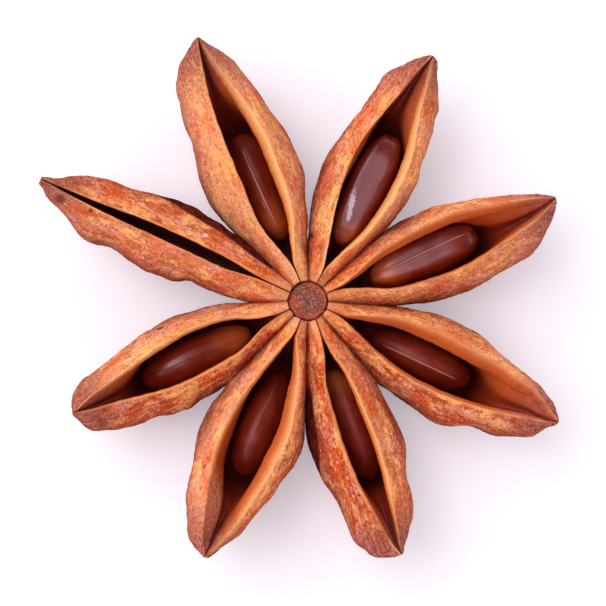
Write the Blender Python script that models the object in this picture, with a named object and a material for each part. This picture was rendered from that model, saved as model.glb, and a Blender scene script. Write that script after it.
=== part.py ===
"""Star anise: eight boat-shaped pods grown out of one short column, seven of them with a loose seed.

The star lies on its back on z = 0, its pods split open upwards. Sizes are in millimetres until a
mesh is made, and in metres from there on.
"""

import math
from collections import namedtuple

import bmesh
import bpy
import numpy as np
from mathutils import Matrix, Vector, noise

MM = 0.001

# heading: degrees round the column, from +X towards +Y. length: from the column's axis to the tip.
# lift: how much higher the pod stands than one that just touches the table. seat: how far the bed
# of the seed, and the keel below it, lie to the left of the heading line. crease: where the bottom
# of the hollow runs near the tip, from -1, under the right lip, to 1, under the left one. crook: how
# far the tip bends to the left. seed: its length and how far from the column its middle lies, or
# None in the pod that is empty.
# bevels: the widths of the left and the right lip's sloping inner edge.
# left, right: half-breadths from the heading line to the flanks, at the stations in GIRTHS.
# left_lip, right_lip: from the heading line to the lips, at the same stations.
Pod = namedtuple(
    "Pod", "heading length lift seat crease crook seed bevels left left_lip right_lip right"
)
GIRTHS = (0.3, 0.45, 0.6, 0.8, 0.93)
PODS = {
    "pod_1": Pod(
        113.1, 19.45, -0.20, -0.45, 0.5, 0.05, (7.9, 8.6), (0.12, 0.7),
        (2.50, 3.10, 3.20, 2.60, 1.80), (1.08, 1.18, 1.17, 0.88, 0.38),
        (1.45, 1.83, 1.90, 1.12, 0.35), (2.70, 3.40, 3.40, 2.42, 1.25),
    ),
    "pod_2": Pod(
        63.3, 18.75, 0.22, -0.30, 0.45, 0.0, (8.4, 8.9), (0.1, 0.55),
        (2.42, 2.98, 3.03, 2.48, 1.35), (1.05, 1.68, 1.78, 1.00, 0.42),
        (1.50, 2.10, 2.10, 1.12, 0.48), (2.35, 3.00, 3.05, 2.38, 1.35),
    ),
    "pod_3": Pod(
        22.3, 18.3, 0.15, -0.20, -0.45, 0.1, (8.0, 8.85), (0.65, 0.15),
        (2.45, 2.65, 2.75, 1.95, 1.20), (1.28, 1.78, 1.98, 1.30, 0.60),
        (1.42, 1.87, 1.90, 1.13, 0.52), (2.60, 3.05, 3.40, 2.75, 2.15),
    ),
    "pod_4": Pod(
        335.1, 18.95, -0.20, 0.10, -0.45, -0.35, (7.5, 8.9), (0.95, 0.35),
        (2.50, 3.12, 3.05, 2.25, 1.65), (1.60, 2.08, 2.05, 1.55, 0.70),
        (1.35, 2.00, 2.05, 1.40, 0.60), (2.40, 3.15, 3.50, 2.72, 1.75),
    ),
    "pod_5": Pod(
        290.7, 18.4, 0.30, 0.15, 0.3, -0.3, (8.0, 8.9), (0.35, 0.2),
        (2.35, 2.85, 2.95, 2.25, 1.10), (0.75, 0.98, 1.02, 0.50, 0.12),
        (1.00, 1.35, 1.50, 1.15, 0.60), (2.30, 3.05, 3.08, 2.72, 2.45),
    ),
    "pod_6": Pod(
        248.1, 18.85, 0.12, 0.35, 0.1, -0.1, (7.6, 8.7), (0.95, 0.35),
        (2.75, 3.35, 3.35, 2.22, 1.20), (1.80, 2.40, 2.30, 1.60, 0.78),
        (1.25, 2.00, 2.22, 1.50, 0.75), (2.60, 3.20, 3.25, 2.55, 1.55),
    ),
    "pod_7": Pod(
        205.6, 17.8, -0.20, 0.05, 0.4, 0.1, (8.2, 8.2), (0.2, 0.25),
        (2.25, 2.85, 2.98, 2.60, 1.85), (1.13, 1.50, 1.55, 0.90, 0.40),
        (1.25, 1.70, 1.50, 0.85, 0.34), (2.55, 2.90, 2.92, 2.05, 1.55),
    ),
    "pod_8": Pod(
        156.4, 20.0, 0.35, -0.15, 0.0, 0.0, None, (0.06, 0.06),
        (1.88, 2.15, 2.10, 2.05, 0.85), (0.42, 0.40, 0.38, 0.28, 0.12),
        (0.34, 0.48, 0.50, 0.22, 0.10), (2.45, 2.95, 2.60, 2.20, 1.20),
    ),
}

# The column stands off the middle of the star's box, because the pods differ in length.
COLUMN_AT = (0.645, -0.195)
COLUMN_SIDES = 24

# Radius and height, from the middle of the sunken disc on top to the scar of the stalk below.
COLUMN_PROFILE = (
    (0.0, 6.75), (0.98, 6.82), (1.3, 6.87), (1.4, 6.75), (1.4, 6.4), (1.75, 6.3),
    (1.75, 4.4), (1.58, 2.6), (1.16, 2.0), (1.05, 1.0), (0.58, 1.15), (0.0, 1.05),
)

# Along a pod, as shares of its length: heights above the table and depths below the lips.
ROOT = 1.5
TIP_SHARE = 0.997
STATIONS = 21
CROWDING = 1.35
LIP_HEIGHT = ((0.0, 7.1), (0.3, 7.45), (0.55, 7.6), (0.8, 7.8), (0.93, 8.05), (1.0, 8.3))
DEPTH = (
    (0.0, 4.0), (0.08, 4.5), (0.17, 5.2), (0.3, 6.6), (0.45, 7.4), (0.57, 7.6),
    (0.68, 7.45), (0.78, 6.9), (0.87, 5.9), (0.94, 4.9), (1.0, 4.0),
)
HOLLOW_DEPTH = (
    (0.0, 0.3), (0.1, 0.5), (0.15, 2.4), (0.21, 4.6), (0.3, 5.8), (0.45, 6.5), (0.56, 6.6),
    (0.67, 6.1), (0.71, 5.3), (0.78, 3.4), (0.87, 2.1), (0.95, 0.9), (1.0, 0.15),
)
HOLLOW = (
    (0.0, 0.04), (0.1, 0.1), (0.18, 0.75), (0.26, 1.3), (0.34, 1.56), (0.55, 1.6),
    (0.64, 1.45), (0.72, 0.95), (0.82, 0.4), (0.92, 0.15), (1.0, 0.03),
)
BED_START = (0.1, 0.3)
BED_END = (0.6, 0.8)
ROOT_BREADTHS = ((0.0, 0.9), (0.15, 1.5))
TIP_BREADTH = 0.62
CLOSING = 0.95
DEPTH_CLOSING = 0.75
LIP_START = ((0.0, 0.08), (0.11, 0.16), (0.2, 0.6))
LIFT_START = (0.05, 0.35)
CROOK_START = 0.86

# Across a pod. The bulge is the share of the depth at which it is widest.
BULGE = 0.42
SHOULDER = ((0.0, 0.3), (0.12, 0.3), (0.28, 0.8), (1.0, 0.8))
BEVEL = ((0.0, 0.1), (0.15, 0.25), (0.27, 0.7), (0.4, 1.0), (0.75, 1.0), (0.93, 0.5), (1.0, 0.2))
BEVEL_DROP = 0.8
DEEPEST_DROP = 0.3
LIP_CREST = 0.06
CREST_IN = 0.3
NARROWEST_LIP = 0.09
NARROWEST_THROAT = 0.06
WIDEST_OPENING = 0.72
THINNEST_WALL = 0.45
DEEPEST_HOLLOW = 0.87
NARROWEST_HOLLOW = 0.03
FLOOR_ROUNDNESS = (5.0, 1.7)
SPLAY = 0.42
PRESSED = 0.12
WRINKLE = 0.3
WRINKLE_LENGTH = 2.6
WRINKLE_SIDES = 5.0
WRINKLE_PODS = 17.0
WRINKLE_START = (4.5, 7.5)
WRINKLE_BELOW = 0.3

# Where the points of a section lie, as shares of its depth, from the lip to the keel or the floor.
OUTER_DEPTHS = (0.03, 0.14, 0.3, 0.48, 0.66, 0.82, 0.94)
INNER_DEPTHS = (0.0, 0.2, 0.45, 0.7, 0.9)

SEED_HEIGHT = 4.7
SEED_THICKNESS = 2.8
SEED_GAP = 0.2
SEED_RINGS = 13
SEED_SIDES = 16
SEED_EGG = 0.1
SEED_POLE = 0.35
SEED_BLUNT = 2.3
SEED_TOP = 2.8
SHARP_EDGE = math.radians(50)
MERGE = 1e-3

HUSK = ("husk", (0.52, 0.2, 0.075), 0.62)
SEED_COAT = ("seed_coat", (0.16, 0.035, 0.015), 0.18)


def through(knots, x):
    """The value at x of a smooth curve through the knots."""
    xs, ys = np.array(knots, float).T
    slopes = np.gradient(ys, xs)
    i = int(np.clip(np.searchsorted(xs, x) - 1, 0, len(xs) - 2))
    width = xs[i + 1] - xs[i]
    s = np.clip((x - xs[i]) / width, 0.0, 1.0)
    return float(
        ys[i] * (1 + 2 * s) * (1 - s) ** 2
        + slopes[i] * width * s * (1 - s) ** 2
        + ys[i + 1] * s * s * (3 - 2 * s)
        + slopes[i + 1] * width * s * s * (s - 1)
    )


def smooth(x):
    """0 below 0, 1 above 1, with an even change between."""
    x = min(max(x, 0.0), 1.0)
    return x * x * (3 - 2 * x)


def mix(a, b, share):
    return a + (b - a) * share


def between(x, start, end):
    """How far x is from the start to the end, as a share."""
    return (x - start) / (end - start)


def soft_least(a, b, blend=0.2):
    """The smaller of two widths, rounded where they cross."""
    return 0.5 * (a + b - math.sqrt((a - b) ** 2 + blend**2))


def closing(share):
    """Falls to 0 at the tip as a quarter of an ellipse, which rounds the end off."""
    x = max(0.0, (share - CLOSING) / (1 - CLOSING))
    return math.sqrt(max(0.0, 1 - x * x))


def half_wedges(name):
    """The angles from a pod's heading to the borders with its left and its right neighbour."""
    headings = sorted(pod.heading for pod in PODS.values())
    i = headings.index(PODS[name].heading)
    left = (headings[(i + 1) % len(headings)] - headings[i]) % 360
    right = (headings[i] - headings[i - 1]) % 360
    return math.radians(left / 2), math.radians(right / 2)


def flank_at(breadths, share, length, wedge):
    """From the heading line to one flank, held in near the column by the neighbouring pod."""
    knots = ROOT_BREADTHS + tuple(zip(GIRTHS, breadths)) + ((1.0, TIP_BREADTH * breadths[-1]),)
    free = through(knots, share) * closing(share)
    return soft_least(free, share * length * math.tan(wedge) + PRESSED)


def lip_at(lips, share):
    """From the heading line to one edge of the opening."""
    start = tuple((x, y * lips[0]) for x, y in LIP_START)
    knots = start + tuple(zip(GIRTHS, lips)) + ((1.0, 0.0),)
    return max(NARROWEST_LIP, through(knots, share))


def lip_height(pod, share):
    """How high the lips stand. Next to the column all pods stand equally high."""
    return through(LIP_HEIGHT, share) + pod.lift * smooth(between(share, *LIFT_START))


def wrinkle(name, along, depth, side):
    """A low fold of the husk, drawn from smooth noise that differs from pod to pod."""
    layer = WRINKLE_SIDES * side + WRINKLE_PODS * int(name[-1])
    fold = noise.noise(Vector((along / WRINKLE_LENGTH, depth / WRINKLE_LENGTH, layer)))
    return WRINKLE * fold * smooth(between(along, *WRINKLE_START))


def section(name, share):
    """The closed outline of a pod's wall at a share of its length, as (side, height) pairs."""
    pod = PODS[name]
    along = share * pod.length
    top = lip_height(pod, share)
    depth = through(DEPTH, share) * closing(share) ** DEPTH_CLOSING
    floor = min(through(HOLLOW_DEPTH, share), DEEPEST_HOLLOW * depth)
    left_wedge, right_wedge = half_wedges(name)
    flanks = {
        1: flank_at(pod.left, share, pod.length, left_wedge),
        -1: flank_at(pod.right, share, pod.length, right_wedge),
    }
    lips = {1: lip_at(pod.left_lip, share), -1: lip_at(pod.right_lip, share)}
    lips = {side: min(lips[side], WIDEST_OPENING * flanks[side]) for side in lips}
    bevels = dict(zip((1, -1), pod.bevels))
    for side in bevels:
        wanted = through(BEVEL, share) * bevels[side]
        bevels[side] = min(wanted, lips[side] - NARROWEST_THROAT)
    drops = {side: min(BEVEL_DROP * bevels[side], DEEPEST_DROP * floor) for side in bevels}
    keel = pod.seat * closing(share)
    to_tip = smooth(between(share, *BED_END))
    opening = 0.5 * (lips[1] + lips[-1])
    crease = 0.5 * (lips[1] - lips[-1]) + pod.crease * opening
    bed = mix(pod.seat * smooth(between(share, *BED_START)), crease, to_tip)
    thick = min(flanks.values()) - THINNEST_WALL
    hollow = max(NARROWEST_HOLLOW, min(through(HOLLOW, share), thick))
    roundness = mix(*FLOOR_ROUNDNESS, to_tip)
    shoulder = through(SHOULDER, share)
    bend = pod.crook * smooth(between(share, CROOK_START, 1.0))

    def outside(share_down, side):
        fold = wrinkle(name, along, share_down * depth, side)
        fold *= smooth(share_down / WRINKLE_BELOW)
        if share_down <= BULGE:
            rise = math.sin(0.5 * math.pi * share_down / BULGE) ** shoulder
            width = mix(lips[side], flanks[side], rise)
            return side * (width + fold), top - share_down * depth
        below = (share_down - BULGE) / (1 - BULGE)
        out = mix(keel, side * flanks[side], math.sqrt(1 - below**2))
        return out + side * fold, top - share_down * depth

    def inside(share_down, side):
        throat = side * (lips[side] - bevels[side])
        wall = mix(throat, bed + side * hollow, smooth(share_down / SPLAY))
        rounding = math.sqrt(1 - share_down**roundness)
        return mix(bed, wall, rounding), top - mix(drops[side], floor, share_down)

    def crest(side):
        return side * (lips[side] - CREST_IN * bevels[side]), top + LIP_CREST

    left = [outside(d, 1) for d in OUTER_DEPTHS]
    right = [outside(d, -1) for d in reversed(OUTER_DEPTHS)]
    down = [inside(d, -1) for d in INNER_DEPTHS]
    up = [inside(d, 1) for d in reversed(INNER_DEPTHS)]
    outer = left + [(keel, top - depth)] + right
    inner = down + [(bed, top - floor)] + up
    outline = outer + [crest(-1)] + inner + [crest(1)]
    return [(across + bend, height) for across, height in outline]


def station_shares(pod):
    """Shares of the length at which a pod is drawn, closer together towards its tip."""
    start = ROOT / pod.length
    steps = np.linspace(0.0, 1.0, STATIONS)
    return start + (TIP_SHARE - start) * (1 - (1 - steps) ** CROWDING)


def make_object(name, shape):
    """Turns a finished bmesh into a linked object."""
    bmesh.ops.recalc_face_normals(shape, faces=shape.faces)
    mesh = bpy.data.meshes.new(name)
    shape.to_mesh(mesh)
    shape.free()
    obj = bpy.data.objects.new(name, mesh)
    bpy.context.scene.collection.objects.link(obj)
    return obj


def loft(rings):
    """A closed bmesh through rings of points in metres, with both ends capped."""
    shape = bmesh.new()
    rows = [[shape.verts.new(point) for point in ring] for ring in rings]
    for near, far in zip(rows, rows[1:]):
        for i in range(len(near)):
            j = (i + 1) % len(near)
            shape.faces.new((near[i], near[j], far[j], far[i]))
    shape.faces.new(list(reversed(rows[0])))
    shape.faces.new(rows[-1])
    return shape


def pod_frame(pod):
    """Turns (along, left, up) of a pod, in metres, into the star's frame."""
    at = Matrix.Translation((COLUMN_AT[0] * MM, COLUMN_AT[1] * MM, 0.0))
    return at @ Matrix.Rotation(math.radians(pod.heading), 4, "Z")


def rest_flat(shape):
    """Cuts off what reaches below the table, which leaves a small flat spot to rest on."""
    geometry = shape.verts[:] + shape.edges[:] + shape.faces[:]
    cut = bmesh.ops.bisect_plane(
        shape, geom=geometry, plane_co=(0, 0, 0), plane_no=(0, 0, -1), clear_outer=True
    )
    edges = [item for item in cut["geom_cut"] if isinstance(item, bmesh.types.BMEdge)]
    if edges:
        bmesh.ops.holes_fill(shape, edges=edges)


def make_pod(name):
    pod = PODS[name]
    rings = []
    for share in station_shares(pod):
        along = share * pod.length
        rings.append([Vector((along, side, height)) * MM for side, height in section(name, share)])
    shape = loft(rings)
    shape.transform(pod_frame(pod))
    rest_flat(shape)
    return make_object(name, shape)


def make_column():
    """The core that the pods grow from: a sunken disc on top, a broken-off stalk underneath."""
    shape = bmesh.new()
    centre = Vector((COLUMN_AT[0], COLUMN_AT[1], 0.0))
    points = [shape.verts.new((centre + Vector((r, 0.0, z))) * MM) for r, z in COLUMN_PROFILE]
    edges = [shape.edges.new(pair) for pair in zip(points, points[1:])]
    bmesh.ops.spin(
        shape,
        geom=points + edges,
        cent=centre * MM,
        axis=(0.0, 0.0, 1.0),
        angle=2 * math.pi,
        steps=COLUMN_SIDES,
        use_merge=True,
    )
    bmesh.ops.remove_doubles(shape, verts=shape.verts, dist=MERGE * MM)
    return make_object("star", shape)


def fuse(base, parts):
    """Joins the parts to the base in one Boolean union, applies it and removes the parts."""
    group = bpy.data.collections.new("pods")
    bpy.context.scene.collection.children.link(group)
    for part in parts:
        group.objects.link(part)
        bpy.context.scene.collection.objects.unlink(part)
    join = base.modifiers.new("grown_together", "BOOLEAN")
    join.operation = "UNION"
    join.operand_type = "COLLECTION"
    join.collection = group
    graph = bpy.context.evaluated_depsgraph_get()
    whole = bpy.data.meshes.new_from_object(base.evaluated_get(graph))
    base.modifiers.clear()
    base.data = whole
    for part in parts:
        bpy.data.objects.remove(part)
    bpy.data.collections.remove(group)


def make_seed(name):
    """A flat egg-shaped seed on edge, blunt towards the pod's tip and flattened on top."""
    pod = PODS[name]
    length, along = pod.seed
    share = along / pod.length
    low = lip_height(pod, share) - through(HOLLOW_DEPTH, share)
    height = low + SEED_GAP + 0.5 * SEED_HEIGHT
    rings = []
    for i in range(SEED_RINGS):
        x = -math.cos(math.pi * (i + SEED_POLE) / (SEED_RINGS - 1 + 2 * SEED_POLE))
        across = (1 - abs(x) ** SEED_BLUNT) ** (1 / SEED_BLUNT) * (1 + SEED_EGG * x)
        ring = []
        for j in range(SEED_SIDES):
            turn = 2 * math.pi * j / SEED_SIDES
            power = 2 / SEED_TOP if math.cos(turn) > 0 else 1.0
            out = math.copysign(abs(math.sin(turn)) ** power, math.sin(turn))
            rise = math.copysign(abs(math.cos(turn)) ** power, math.cos(turn))
            side = 0.5 * SEED_THICKNESS * across * out
            up = 0.5 * SEED_HEIGHT * across * rise
            ring.append(Vector((0.5 * length * x, side, up)) * MM)
        rings.append(ring)
    seed = make_object(name.replace("pod", "seed"), loft(rings))
    seed.matrix_world = pod_frame(pod) @ Matrix.Translation(Vector((along, pod.seat, height)) * MM)
    return seed


def paint(obj, finish):
    """Gives the object its own plain material and smooth shading."""
    slot, colour, roughness = finish
    material = bpy.data.materials.new(f"{slot}_{obj.name}")
    material.use_nodes = True
    shader = material.node_tree.nodes["Principled BSDF"]
    shader.inputs["Base Color"].default_value = (*colour, 1.0)
    shader.inputs["Roughness"].default_value = roughness
    shader.inputs["Metallic"].default_value = 0.0
    obj.data.materials.clear()
    obj.data.materials.append(material)
    obj.data.shade_smooth()
    obj.data.set_sharp_from_angle(angle=SHARP_EDGE)


def main():
    for obj in list(bpy.data.objects):
        bpy.data.objects.remove(obj)
    star = make_column()
    fuse(star, [make_pod(name) for name in PODS])
    paint(star, HUSK)
    for name, pod in PODS.items():
        if pod.seed:
            paint(make_seed(name), SEED_COAT)


main()
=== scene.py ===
"""Star anise: eight split pods grown round one column, seven loose seeds, and a plain studio.

Sizes of the fruit are in millimetres in a pod's own frame, and in metres once a mesh is made.
"""

import itertools
import math
from collections import namedtuple

import bpy
import numpy as np
from mathutils import Matrix, Vector, noise


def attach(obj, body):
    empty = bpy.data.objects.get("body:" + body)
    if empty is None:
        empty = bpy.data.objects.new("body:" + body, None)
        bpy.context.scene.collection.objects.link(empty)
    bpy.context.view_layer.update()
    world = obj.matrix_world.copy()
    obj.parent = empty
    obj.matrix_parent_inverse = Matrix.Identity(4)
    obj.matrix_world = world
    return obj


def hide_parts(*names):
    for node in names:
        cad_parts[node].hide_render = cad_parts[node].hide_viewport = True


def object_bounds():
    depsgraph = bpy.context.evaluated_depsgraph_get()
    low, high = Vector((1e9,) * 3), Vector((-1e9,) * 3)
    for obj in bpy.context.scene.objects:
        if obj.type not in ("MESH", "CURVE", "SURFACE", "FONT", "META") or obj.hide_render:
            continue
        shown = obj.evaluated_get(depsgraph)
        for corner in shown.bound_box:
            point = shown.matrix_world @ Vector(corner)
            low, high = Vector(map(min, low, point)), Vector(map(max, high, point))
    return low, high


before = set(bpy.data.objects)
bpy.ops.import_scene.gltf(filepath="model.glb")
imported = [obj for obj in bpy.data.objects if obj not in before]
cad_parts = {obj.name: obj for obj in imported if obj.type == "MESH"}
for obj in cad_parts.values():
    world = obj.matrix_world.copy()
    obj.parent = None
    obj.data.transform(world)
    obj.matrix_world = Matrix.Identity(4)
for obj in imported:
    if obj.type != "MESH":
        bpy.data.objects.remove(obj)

CAD_LOW, CAD_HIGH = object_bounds()

bl_info = {
    "name": "Star Anise",
    "version": (1, 0, 0),
    "blender": (4, 5, 0),
    "location": "View3D > Sidebar > Star Anise",
    "description": "Builds a dried star anise fruit with its loose seeds on a pale studio floor",
    "category": "Add Mesh",
}

MM = 0.001

# heading: degrees round the column, from +X towards +Y. length: from the column's axis to the tip.
# lift: how much higher the pod stands than one that just touches the table. seat: how far the bed
# of the seed, and the keel below it, lie to the left of the heading line. crease: where the bottom
# of the hollow runs near the tip, from -1, under the right lip, to 1, under the left one. crook:
# how far the tip bends to the left. seed: its length and how far from the column its middle lies,
# or None in the pod that is empty.
# bevels: the widths of the left and the right lip's sloping inner edge.
# left, right: half-breadths from the heading line to the flanks, at the stations in GIRTHS.
# left_lip, right_lip: from the heading line to the lips, at the same stations.
Pod = namedtuple(
    "Pod", "heading length lift seat crease crook seed bevels left left_lip right_lip right"
)
GIRTHS = (0.3, 0.45, 0.6, 0.8, 0.93)
PODS = {
    "pod_1": Pod(
        113.1, 19.45, -0.20, -0.45, 0.5, 0.05, (7.9, 8.6), (0.12, 0.7),
        (2.50, 3.10, 3.20, 2.60, 1.80), (1.08, 1.18, 1.17, 0.88, 0.38),
        (1.45, 1.83, 1.90, 1.12, 0.35), (2.70, 3.40, 3.40, 2.42, 1.25),
    ),
    "pod_2": Pod(
        63.3, 18.75, 0.22, -0.30, 0.45, 0.0, (8.4, 8.9), (0.1, 0.55),
        (2.42, 2.98, 3.03, 2.48, 1.35), (1.05, 1.68, 1.78, 1.00, 0.42),
        (1.50, 2.10, 2.10, 1.12, 0.48), (2.35, 3.00, 3.05, 2.38, 1.35),
    ),
    "pod_3": Pod(
        22.3, 18.3, 0.15, -0.20, -0.45, 0.1, (8.0, 8.85), (0.65, 0.15),
        (2.45, 2.65, 2.75, 1.95, 1.20), (1.28, 1.78, 1.98, 1.30, 0.60),
        (1.42, 1.87, 1.90, 1.13, 0.52), (2.60, 3.05, 3.40, 2.75, 2.15),
    ),
    "pod_4": Pod(
        335.1, 18.95, -0.20, 0.10, -0.45, -0.35, (7.5, 8.9), (0.95, 0.35),
        (2.50, 3.12, 3.05, 2.25, 1.65), (1.60, 2.08, 2.05, 1.55, 0.70),
        (1.35, 2.00, 2.05, 1.40, 0.60), (2.40, 3.15, 3.50, 2.72, 1.75),
    ),
    "pod_5": Pod(
        290.7, 18.4, 0.30, 0.15, 0.3, -0.3, (8.0, 8.9), (0.35, 0.2),
        (2.35, 2.85, 2.95, 2.25, 1.10), (0.75, 0.98, 1.02, 0.50, 0.12),
        (1.00, 1.35, 1.50, 1.15, 0.60), (2.30, 3.05, 3.08, 2.72, 2.45),
    ),
    "pod_6": Pod(
        248.1, 18.85, 0.12, 0.35, 0.1, -0.1, (7.6, 8.7), (0.95, 0.35),
        (2.75, 3.35, 3.35, 2.22, 1.20), (1.80, 2.40, 2.30, 1.60, 0.78),
        (1.25, 2.00, 2.22, 1.50, 0.75), (2.60, 3.20, 3.25, 2.55, 1.55),
    ),
    "pod_7": Pod(
        205.6, 17.8, -0.20, 0.05, 0.4, 0.1, (8.2, 8.2), (0.2, 0.25),
        (2.25, 2.85, 2.98, 2.60, 1.85), (1.13, 1.50, 1.55, 0.90, 0.40),
        (1.25, 1.70, 1.50, 0.85, 0.34), (2.55, 2.90, 2.92, 2.05, 1.55),
    ),
    "pod_8": Pod(
        156.4, 20.0, 0.35, -0.15, 0.0, 0.0, None, (0.06, 0.06),
        (1.88, 2.15, 2.10, 2.05, 0.85), (0.42, 0.40, 0.38, 0.28, 0.12),
        (0.34, 0.48, 0.50, 0.22, 0.10), (2.45, 2.95, 2.60, 2.20, 1.20),
    ),
}
COLUMN_AT = (0.645, -0.195)
COLUMN_PLACE = Matrix.Translation((COLUMN_AT[0] * MM, COLUMN_AT[1] * MM, 0.0))

# Radius and height, from the middle of the sunken disc on top to the scar of the stalk below. Its
# rim sways and has nicks, and above DISC_ABOVE its surface is granular.
COLUMN_PROFILE = (
    (0.0, 6.75), (0.95, 6.82), (1.22, 6.87), (1.32, 6.8), (1.36, 6.66), (1.75, 6.6),
    (1.75, 4.4), (1.58, 2.6), (1.16, 2.0), (1.05, 1.0), (0.58, 1.15), (0.0, 1.05),
)
COLUMN_SIDES = 144
COLUMN_STEP = 0.09
RIM_START, RIM_WIDTH = 0.6, 0.8
RIM_SCALE = 2.2
RIM_SWAY = 0.06
RIM_NICKS = 0.045
DISC_GRAINS = (3.1, 6.3)
DISC_GRAIN = 0.035
DISC_ABOVE = 6.0

# Along a pod, as shares of its length: heights above the table and depths below the lips. ROOT is
# how far from the column's axis a pod begins, and TIP_SHARE is where its last section lies. The
# sections crowd towards the tip, which is rounded off from CLOSING on.
ROOT = 1.42
TIP_SHARE = 0.997
STATIONS = 236
CROWDING = 1.25
LIP_HEIGHT = ((0.0, 7.1), (0.3, 7.45), (0.55, 7.6), (0.8, 7.8), (0.93, 8.05), (1.0, 8.3))
DEPTH = (
    (0.0, 4.0), (0.08, 4.5), (0.17, 5.2), (0.3, 6.6), (0.45, 7.4), (0.57, 7.6),
    (0.68, 7.45), (0.78, 6.9), (0.87, 5.9), (0.94, 4.9), (1.0, 4.0),
)
HOLLOW_DEPTH = (
    (0.0, 0.3), (0.1, 0.5), (0.15, 2.4), (0.21, 4.6), (0.3, 5.8), (0.45, 6.5), (0.56, 6.6),
    (0.67, 6.1), (0.71, 5.3), (0.78, 3.4), (0.87, 2.1), (0.95, 0.9), (1.0, 0.15),
)
HOLLOW = (
    (0.0, 0.04), (0.1, 0.1), (0.18, 0.75), (0.26, 1.3), (0.34, 1.56), (0.55, 1.6),
    (0.64, 1.45), (0.72, 0.95), (0.82, 0.4), (0.92, 0.15), (1.0, 0.03),
)
BED_START = (0.1, 0.3)
BED_END = (0.6, 0.8)
ROOT_BREADTHS = ((0.0, 0.9), (0.15, 1.5))
TIP_BREADTH = 0.62
LEAST_FLANK = 0.3
CLOSING = 0.95
DEPTH_CLOSING = 0.75
LIP_START = ((0.0, 0.02), (0.1, 0.05), (0.135, 0.12))
LIFT_START = (0.05, 0.35)
CROOK_START = 0.86

# Across a pod, as shares of the way down or over the lip, and in millimetres. The bulge is where
# a flank stands out furthest. A sharp lip has no bevel to speak of, and is coloured as if deeper.
BULGE = 0.42
SHOULDER = ((0.0, 0.3), (0.12, 0.3), (0.28, 0.8), (1.0, 0.8))
BEVEL = (
    (0.0, 0.1), (0.15, 0.25), (0.27, 0.7), (0.4, 1.0), (0.75, 1.0), (0.93, 0.5), (1.0, 0.2),
)
BEVEL_DROP = 0.8
DEEPEST_DROP = 0.3
LIP_CREST = 0.06
LIP_CREST_END = 0.6
LIP_FALL_START = 0.25
LIP_FALL_POWER = 1.4
LIP_SKIN_END = 0.4
SHARP_LIP = 0.4
DEEP_LIP = 0.3
RAGGED_LENGTHS = (0.7, 0.25)
RAGGED_START = (0.05, 0.6)
RAGGED_END = 0.12
NARROWEST_LIP = 0.06
NARROWEST_THROAT = 0.035
WIDEST_OPENING = 0.72
THINNEST_WALL = 0.45
DEEPEST_HOLLOW = 0.87
NARROWEST_HOLLOW = 0.03
FLOOR_ROUNDNESS = (5.0, 1.7)
END_LUMPS = 2.6
END_LUMP = 0.09
SPLAY = 0.42
PRESSED = 0.12
WRINKLE = 0.3
WRINKLE_LENGTH = 2.6
WRINKLE_SIDES = 5.0
WRINKLE_PODS = 17.0
WRINKLE_START = (4.5, 7.5)
WRINKLE_BELOW = 0.3
WRINKLE_KEEL = 0.06

# How many points a section has on one side: down the flank, where they crowd towards the lip, over
# the lip and down the inner wall.
FLANK_POINTS = 48
FLANK_CROWDING = 1.25
LIP_POINTS = 8
WALL_POINTS = 24

# Humps and dents of single flanks, left ones under 1 and right ones under -1: how far from the
# column, how far out, and half their length.
HUMPS = {
    ("pod_1", 1): ((8.3, 0.15, 1.3), (13.6, -0.28, 1.2), (17.0, 0.12, 0.7), (18.9, -0.4, 0.5)),
    ("pod_1", -1): ((8.8, 0.18, 1.9), (12.4, -0.2, 1.6), (17.0, 0.3, 0.9), (18.8, -0.28, 0.5)),
    ("pod_2", 1): ((9.5, 0.12, 1.8), (13.6, -0.22, 1.0), (16.7, 0.36, 0.9)),
    ("pod_2", -1): ((11.2, 0.24, 0.8), (13.6, -0.12, 0.7), (16.1, 0.16, 0.5), (18.0, -0.2, 0.4)),
    ("pod_3", 1): ((11.0, 0.08, 1.5), (14.6, -0.12, 1.4), (17.2, -0.12, 1.0)),
    ("pod_3", -1): ((15.7, 0.22, 1.0), (17.6, -0.3, 0.7)),
    ("pod_4", 1): ((9.8, 0.22, 1.4), (12.8, 0.1, 0.9), (15.5, -0.2, 1.3)),
    ("pod_4", -1): ((14.2, -0.25, 1.2), (16.7, 0.2, 0.9), (18.5, -0.7, 0.5)),
    ("pod_5", 1): ((11.2, 0.06, 0.6), (13.1, -0.22, 1.2), (16.2, 0.12, 0.7), (17.9, -0.28, 0.5)),
    ("pod_5", -1): ((13.3, -0.28, 1.0), (17.3, -0.28, 0.6)),
    ("pod_6", 1): ((10.9, 0.14, 1.3), (14.0, -0.12, 1.5), (17.7, -0.25, 1.0)),
    ("pod_6", -1): ((8.8, 0.16, 0.7), (15.0, 0.18, 1.3), (18.6, -0.34, 0.5)),
    ("pod_7", 1): ((10.1, 0.2, 0.6), (12.4, -0.34, 1.0), (17.7, -0.35, 0.5)),
    ("pod_7", -1): ((13.0, 0.1, 0.5), (16.2, 0.14, 0.5), (17.8, -0.3, 0.3)),
    ("pod_8", 1): ((7.9, -0.34, 0.7), (10.8, 0.18, 0.8), (13.8, -0.36, 1.1), (19.8, -0.32, 0.9)),
    ("pod_8", -1): ((8.5, -0.26, 0.8), (11.0, 0.1, 0.6), (14.6, -0.18, 1.0), (19.2, -0.2, 0.9)),
}

# How far from the column's axis each slit begins, and how wide it is at SLIT_SHARE of the pod's
# length, as a share of its width at the first station. Before that there is a shallow groove.
SLITS = {
    "pod_1": (1.5, 0.45), "pod_2": (2.0, 0.46), "pod_3": (2.2, 0.42), "pod_4": (2.2, 0.46),
    "pod_5": (3.0, 0.34), "pod_6": (1.8, 0.46), "pod_7": (2.4, 0.35), "pod_8": (2.7, 0.3),
}
SLIT_SHARE = 0.2
SLIT_LEAD = 0.3
GROOVE = 0.12

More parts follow.
